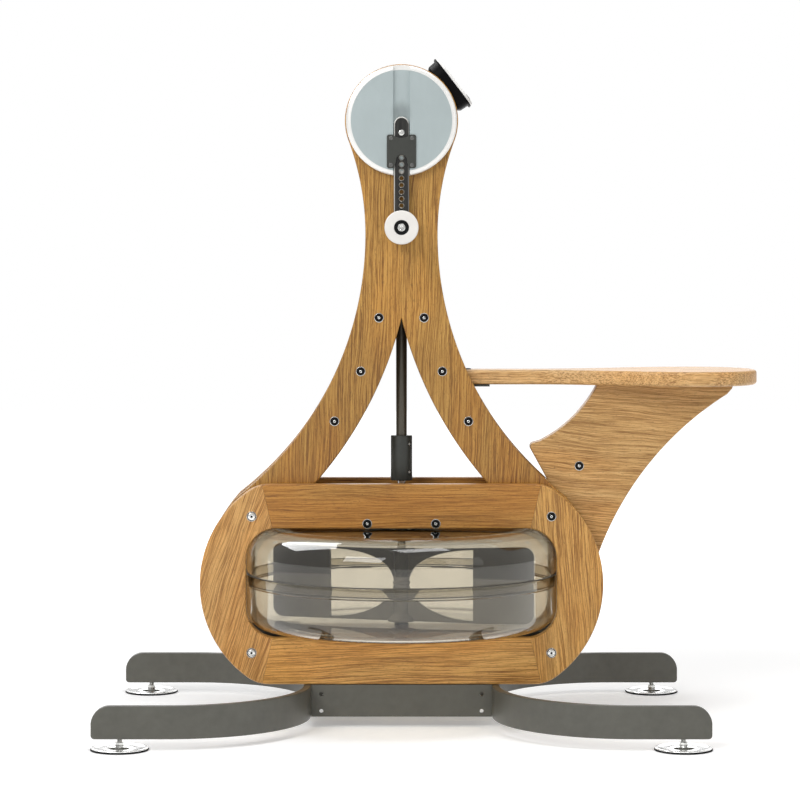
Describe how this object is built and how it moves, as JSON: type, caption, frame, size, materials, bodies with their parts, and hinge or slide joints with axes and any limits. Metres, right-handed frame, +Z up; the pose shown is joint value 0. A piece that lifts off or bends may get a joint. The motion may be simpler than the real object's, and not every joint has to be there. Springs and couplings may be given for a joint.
{
  "type": "water grinder ergometer",
  "caption": "Oak-framed upper-body ergometer: two hand cranks on a tall head turn a paddle in a round water tank, with a narrow seat at one side.",
  "frame": {"origin": "middle of the machine's box on the floor, under the levelling feet", "axes": "+Z up, cranks turn about Y, the seat is towards +X and the front crank towards -Y"},
  "size_m": [1.075, 0.696, 1.0966],
  "materials": {
    "oak": "clear satin lacquer",
    "painted_steel": "olive grey satin paint",
    "turned_aluminium": "turned and anodised, satin",
    "dark_steel": "blackened, satin",
    "bright_steel": "bright plated",
    "brushed_steel": "ground",
    "clear_plastic": "smoked clear, gloss",
    "dark_plastic": "fine grain",
    "white_plastic": "satin gloss",
    "panel_plastic": "clear cover over a pale dial",
    "black_rubber": "matte"
  },
  "bodies": {
    "machine": {"base_leg_left": "painted_steel", "base_leg_right": "painted_steel", "base_plate_front": "painted_steel", "base_plate_rear": "painted_steel", "front_frame_top_rail": "oak", "front_frame_bottom_rail": "oak", "front_frame_left_end": "oak", "front_frame_right_end": "oak", "rear_frame_top_rail": "oak", "rear_frame_bottom_rail": "oak", "rear_frame_left_end": "oak", "rear_frame_right_end": "oak", "upright_front": "oak", "upright_rear": "oak", "leg_spacer_left": "oak", "leg_spacer_right": "oak", "corner_spacer_left": "bright_steel", "corner_spacer_right": "bright_steel", "tank_top": "clear_plastic", "tank_bottom": "clear_plastic", "tank_gasket": "black_rubber", "tank_floor_bearing": "dark_plastic", "tank_hanger": "turned_aluminium", "tank_support_left": "oak", "tank_support_right": "oak", "shaft_bearing": "turned_aluminium", "crank_bearing_front": "brushed_steel", "crank_bearing_rear": "brushed_steel", "head_cover": "painted_steel", "monitor_housing": "dark_plastic", "monitor_panel": "panel_plastic", "seat_board": "oak", "seat_gusset": "oak", "seat_bracket": "dark_steel"},
    "crank": {"crank_axle": "brushed_steel", "crown_gear": "dark_steel", "crank_disc_front": "turned_aluminium", "crank_disc_rear": "turned_aluminium", "clamp_plate_front": "painted_steel", "clamp_plate_rear": "painted_steel"},
    "front_arm": {"crank_arm_front": "dark_steel", "grip_pin_front": "brushed_steel"},
    "rear_arm": {"crank_arm_rear": "dark_steel", "grip_pin_rear": "brushed_steel"},
    "front_grip": {"grip_front": "white_plastic", "grip_bush_front": "black_rubber"},
    "rear_grip": {"grip_rear": "white_plastic", "grip_bush_rear": "black_rubber"},
    "shaft": {"drive_shaft": "dark_steel", "drive_pinion": "dark_steel", "shaft_coupling": "painted_steel", "tank_shaft": "brushed_steel", "paddle": "dark_plastic"},
    "front_left_foot": {"foot_front_left": "bright_steel"},
    "front_right_foot": {"foot_front_right": "bright_steel"},
    "rear_left_foot": {"foot_rear_left": "bright_steel"},
    "rear_right_foot": {"foot_rear_right": "bright_steel"},
    "front_button": {"monitor_button_front": "black_rubber"},
    "rear_button": {"monitor_button_rear": "black_rubber"}
  },
  "joints": [
    {"name": "crank_turn", "type": "hinge", "parent": "machine", "child": "crank", "pos_m": [-0.0515, 0, 0.9915], "axis": [0, 1, 0], "continuous": true},
    {"name": "shaft_turn", "type": "hinge", "parent": "machine", "child": "shaft", "pos_m": [-0.0515, 0, 0.6], "axis": [0, 0, 1], "continuous": true},
    {"name": "front_arm_slide", "type": "slide", "parent": "crank", "child": "front_arm", "axis": [0, 0, 1], "range_m": [0, 0.0784]},
    {"name": "front_grip_turn", "type": "hinge", "parent": "front_arm", "child": "front_grip", "pos_m": [-0.0515, 0, 0.8155], "axis": [0, 1, 0], "continuous": true},
    {"name": "rear_arm_slide", "type": "slide", "parent": "crank", "child": "rear_arm", "axis": [0, 0, 1], "range_m": [0, 0.0784]},
    {"name": "rear_grip_turn", "type": "hinge", "parent": "rear_arm", "child": "rear_grip", "pos_m": [-0.0515, 0, 0.8155], "axis": [0, 1, 0], "continuous": true},
    {"name": "front_left_foot_height", "type": "slide", "parent": "machine", "child": "front_left_foot", "axis": [0, 0, 1], "range_m": [-0.015, 0.003]},
    {"name": "front_right_foot_height", "type": "slide", "parent": "machine", "child": "front_right_foot", "axis": [0, 0, 1], "range_m": [-0.015, 0.003]},
    {"name": "rear_left_foot_height", "type": "slide", "parent": "machine", "child": "rear_left_foot", "axis": [0, 0, 1], "range_m": [-0.015, 0.003]},
    {"name": "rear_right_foot_height", "type": "slide", "parent": "machine", "child": "rear_right_foot", "axis": [0, 0, 1], "range_m": [-0.015, 0.003]},
    {"name": "front_button_press", "type": "slide", "parent": "machine", "child": "front_button", "axis": [-0.7944, 0, -0.6074], "range_m": [0, 0.0015], "stiffness_N_per_m": 300},
    {"name": "rear_button_press", "type": "slide", "parent": "machine", "child": "rear_button", "axis": [-0.7944, 0, -0.6074], "range_m": [0, 0.0015], "stiffness_N_per_m": 300}
  ],
  "couplings": [
    {"joint": "shaft_turn", "follows": "crank_turn", "ratio": 2}
  ]
}
